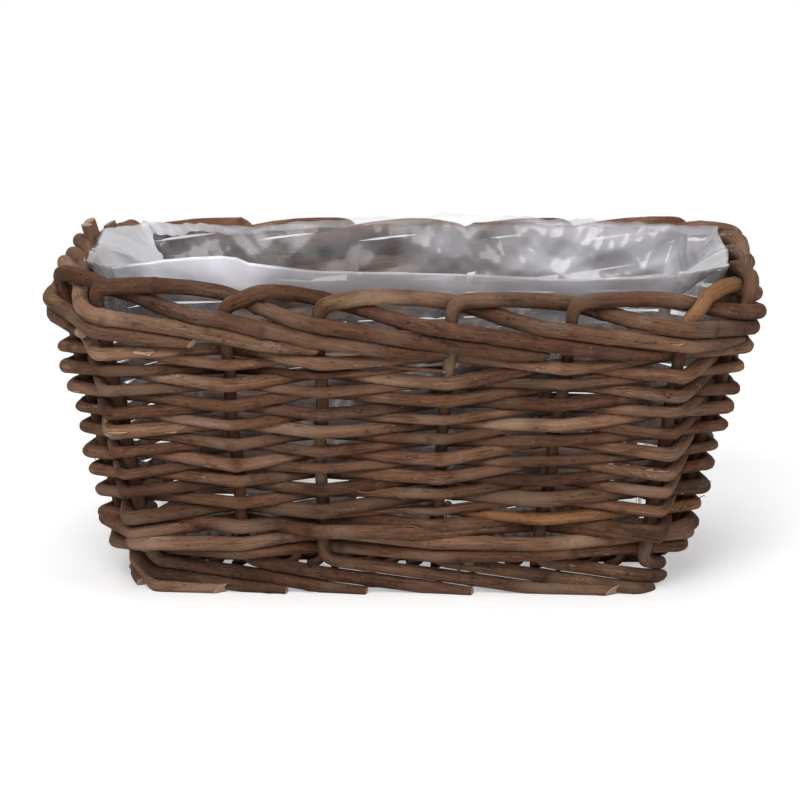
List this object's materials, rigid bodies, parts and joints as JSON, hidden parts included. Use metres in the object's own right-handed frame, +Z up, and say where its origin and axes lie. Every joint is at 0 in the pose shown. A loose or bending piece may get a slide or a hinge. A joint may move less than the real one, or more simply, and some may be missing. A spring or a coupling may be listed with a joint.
{
  "type": "wicker planter",
  "caption": "Rectangular willow planter with sloping woven walls, a rolled border, a woven raised base and a thin film liner.",
  "frame": {"origin": "on the ground under the middle of the basket", "axes": "+X along the length, towards the right in the picture; -Y is the front; +Z up"},
  "size_m": [0.3767, 0.1992, 0.182],
  "materials": {
    "bark_brown": "unpeeled willow bark, matte mid brown",
    "bark_grey": "unpeeled willow bark, matte grey brown",
    "bark_dark": "unpeeled willow bark, matte dark brown",
    "bark_orange": "willow bark, light orange brown",
    "film": "thin translucent polyethylene film, glossy and crinkled"
  },
  "bodies": {
    "root": {"stake_front_1": "bark_brown", "stake_front_2": "bark_dark", "stake_front_3": "bark_grey", "stake_front_4": "bark_grey", "stake_front_5": "bark_brown", "stake_front_6": "bark_brown", "stake_right_1": "bark_dark", "stake_right_2": "bark_grey", "stake_right_3": "bark_grey", "stake_right_4": "bark_brown", "stake_back_1": "bark_brown", "stake_back_2": "bark_dark", "stake_back_3": "bark_grey", "stake_back_4": "bark_grey", "stake_back_5": "bark_brown", "stake_back_6": "bark_brown", "stake_left_1": "bark_dark", "stake_left_2": "bark_grey", "stake_left_3": "bark_grey", "stake_left_4": "bark_brown", "wale_rod_1": "bark_brown", "wale_rod_2": "bark_grey", "wale_rod_3": "bark_dark", "weave_row_01": "bark_brown", "packing_rod_1": "bark_orange", "packing_rod_2": "bark_brown", "weave_row_02": "bark_grey", "weave_row_03": "bark_brown", "weave_row_04": "bark_dark", "weave_row_05": "bark_brown", "weave_row_06": "bark_grey", "weave_row_07": "bark_brown", "weave_row_08": "bark_dark", "weave_row_09": "bark_brown", "weave_row_10": "bark_grey", "weave_row_11": "bark_brown", "weave_row_12": "bark_dark", "weave_row_13": "bark_brown", "weave_row_14": "bark_grey", "weave_row_15": "bark_brown", "packing_rod_3": "bark_dark", "packing_rod_4": "bark_brown", "weave_row_16": "bark_grey", "base_stick_1": "bark_dark", "base_stick_2": "bark_dark", "base_stick_3": "bark_dark", "base_stick_4": "bark_dark", "base_stick_5": "bark_dark", "base_weaver": "bark_brown", "liner": "film"}
  },
  "joints": []
}
